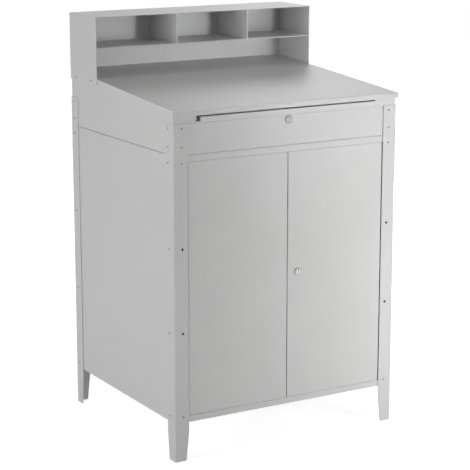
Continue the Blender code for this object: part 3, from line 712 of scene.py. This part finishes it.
def makeLockPlug(name, look):
    node = name + "_plug"
    low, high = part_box(node)
    centre = (low + high) / 2
    face = Vector((centre.x, low.y, centre.z))
    radius, ring, sink = look["plug"], look["plugRing"], look["plugSink"]
    eased, corner = look["plugEased"], look["plugRound"]
    profile = [(look["plugHub"], sink), (ring - sink, sink), (ring, 0.0), (radius - eased, 0.0),
               (radius - corner, corner), (radius, eased), (radius, high.y - low.y)]
    plug = bmesh.new()
    rings = [circle(reach, distance, look["segments"]) for reach, distance in profile]
    ringMesh(plug, rings, facing(face, (0, 1, 0)))
    bmesh.ops.recalc_face_normals(plug, faces=plug.faces)
    mesh = cutWith(pieceName(node), plug, slotCutter(face, look))
    for part in mesh.faces:    # the keyway's walls and floor get painted shade
        aside = part.calc_center_median() - face
        inOutline = (abs(aside.x) < look["slotWidth"] / 2 + hairGap
                     and abs(aside.z) < look["slotHeight"] / 2 + hairGap)
        if inOutline and look["slotLip"] < aside.y < look["slotDepth"] + 10 * hairGap:
            part.material_index = 1
    placePiece(pieceName(node), mesh, [polishedChrome, paintedRecessShade], bodyOf[node], [node])


def makeCamScrew(name, look):
    # holds the cam on the plug's end
    plugLow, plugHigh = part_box(name + "_plug")
    middle = (plugLow + plugHigh) / 2
    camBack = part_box(name + "_cam")[1].y
    head = bmesh.new()
    addScrewHead(head, Vector((middle.x, camBack, middle.z)), (0, 1, 0), look)
    placePiece(pieceName(name + "_cam_screw"), head, [zincSteel, paintedRecessShade], bodyOf[name + "_cam"])


for lock in ("drawer_lock", "door_lock"):
    makeLockBody(lock, lockLook)
    makeLockPlug(lock, lockLook)
    makeCamScrew(lock, screwLook)
print("locks made")


# magnetic catch for the left door

catchLook = {
    "eased": 0.0012, "easedSteps": 3,
    "poleHeight": 0.0016, "poleSpace": 0.0066, "poleEnd": 0.0050, "poleProud": 0.00015,
}


def makeCatch(look):
    node = "door_catch_left"
    low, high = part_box(node)
    middle = (low + high) / 2
    mesh = copyNode(node)
    roundEdges(mesh, cutEdges(mesh), look["eased"], look["easedSteps"], 0.0)
    placePiece(pieceName(node), mesh, [blackPlastic], bodyOf[node], [node])
    # two steel pole strips let into the face that meets the door
    poles = bmesh.new()
    poles.faces.layers.float.new("edgeWear")
    for sign in (-1, 1):
        level, half = middle.z + sign * look["poleSpace"] / 2, look["poleHeight"] / 2
        addBlock(poles, (low.x + look["poleEnd"], low.y - look["poleProud"], level - half),
                 (high.x - look["poleEnd"], middle.y, level + half))
    roundEdges(poles, cutEdges(poles), look["poleProud"], foldMaking["cutSteps"], 0.0)
    placePiece(pieceName(node + "_poles"), poles, [zincSteel], bodyOf[node])


makeCatch(catchLook)
print("catch made")


# floor, light and camera

floorLook = {
    "half": 9.0, "cells": 4, "below": 0.0005,
    "colour": (0.80, 0.80, 0.80), "cloudScale": 1.5, "cloud": 0.005, "rough": 0.9,
    "liftNear": 0.72, "liftFar": 1.0,  # how white the floor is seen, by the object and away from it
    "near": 0.7, "far": 2.2,
}


def makeFloor(look):
    material, tree, shader, place = startFinish("paleFloor")
    cloud = noiseOn(tree, place, look["cloudScale"], 2.0)
    tone = mapped(tree, cloud, 1 - look["cloud"], 1 + look["cloud"])
    tree.links.new(tinted(tree, look["colour"], tone), shader.inputs["Base Color"])
    shader.inputs["Roughness"].default_value = look["rough"]
    shader.inputs["Specular IOR Level"].default_value = 0.0
    away = addNode(tree, "ShaderNodeVectorMath", operation="LENGTH")
    tree.links.new(place, away.inputs[0])
    lift = mapped(tree, away.outputs["Value"], look["liftNear"], look["liftFar"], look["near"], look["far"])
    shader.inputs["Emission Color"].default_value = (1.0, 1.0, 1.0, 1.0)
    tree.links.new(mathOn(tree, "MULTIPLY", seenDirectly(tree), lift), shader.inputs["Emission Strength"])
    mesh = bmesh.new()
    bmesh.ops.create_grid(mesh, x_segments=look["cells"], y_segments=look["cells"], size=look["half"])
    data = bpy.data.meshes.new("paleFloor")
    mesh.to_mesh(data)
    mesh.free()
    data.materials.append(material)
    floor = bpy.data.objects.new("paleFloor", data)
    floor.location.z = cadBox[0].z - look["below"]
    bpy.context.scene.collection.objects.link(floor)


makeFloor(floorLook)
print("floor made")

lightLook = {
    "ambient": 0.16,
    "unmirrored": (    # left out of reflections, where they would glare
        "keyPanel", "riserPanel", "riserLeftPanel", "rightHighPanel", "rightLowPanel",
    ),
    "lamps": [    # name, place, aim, size, spread in degrees, watts
        ("keyPanel", (0.8, -2.9, 1.05), (0.0, 0.0, 0.8), 0.4, 180, 15.2),
        ("riserPanel", (0.9, -3.2, 1.68), (0.0, 0.3, 1.28), 0.5, 24, 0.66),
        ("riserLeftPanel", (-3.2, -2.0, 1.45), (0.42, 0.2, 1.27), 0.4, 9, 0.055),
        ("rightHighPanel", (1.45, -2.05, 1.25), (0.72, -0.36, 1.08), 0.6, 50, 0.45),
        ("rightLowPanel", (1.4, -2.0, 0.35), (0.7, -0.36, 0.4), 0.8, 65, 3.6),
        ("leftPanel", (-3.6, -0.5, 1.3), (0.0, 0.0, 0.7), 2.2, 180, 48.8),
        ("cameraPanel", (-2.9, -2.8, 1.75), (0.0, 0.0, 0.8), 1.7, 180, 4.8),
        ("topPanel", (0.2, -0.4, 4.0), (0.0, 0.0, 1.0), 2.4, 180, 10.3),
        ("backTopPanel", (1.5, 1.7, 2.9), (0.0, 0.0, 1.0), 1.2, 180, 18.0),
        ("backPanel", (2.6, 3.4, 0.6), (0.0, 0.0, 0.6), 1.2, 180, 60.0),
    ],
}


def makeLight(look):
    for name, place, aim, size, spread, watts in look["lamps"]:
        data = bpy.data.lights.new(name, "AREA")
        data.shape = "DISK"
        data.size = size
        data.spread = math.radians(spread)
        data.energy = watts
        holder = bpy.data.objects.new(name, data)
        holder.location = place
        holder.rotation_euler = (Vector(aim) - Vector(place)).to_track_quat("-Z", "Y").to_euler()
        holder.visible_camera = False
        holder.visible_glossy = name not in look["unmirrored"]
        bpy.context.scene.collection.objects.link(holder)
    world = bpy.data.worlds.new("studioWorld")
    world.use_nodes = True
    bpy.context.scene.world = world
    tree = world.node_tree
    backdrop = tree.nodes["Background"]
    backdrop.inputs["Color"].default_value = (1.0, 1.0, 1.0, 1.0)
    strength = mapped(tree, seenDirectly(tree), look["ambient"], 1.0, 0.0, 1.0)
    tree.links.new(strength, backdrop.inputs["Strength"])


makeLight(lightLook)
print("lights made:", len(lightLook["lamps"]))

cameraLook = {
    "at": (-2.8055, -4.7760, 1.8838), "turn": 30.551, "tilt": 12.811,  # degrees
    "lens": 128.18, "sensor": 36.0,                                     # millimetres
}


def makeCamera(look):
    data = bpy.data.cameras.new("photoCamera")
    data.lens = look["lens"]
    data.sensor_width = look["sensor"]
    holder = bpy.data.objects.new("photoCamera", data)
    holder.location = look["at"]
    holder.rotation_euler = (math.radians(90 - look["tilt"]), 0.0, math.radians(-look["turn"]))
    bpy.context.scene.collection.objects.link(holder)
    bpy.context.scene.camera = holder


makeCamera(cameraLook)
bpy.context.scene.view_settings.view_transform = "Standard"
print("camera made")
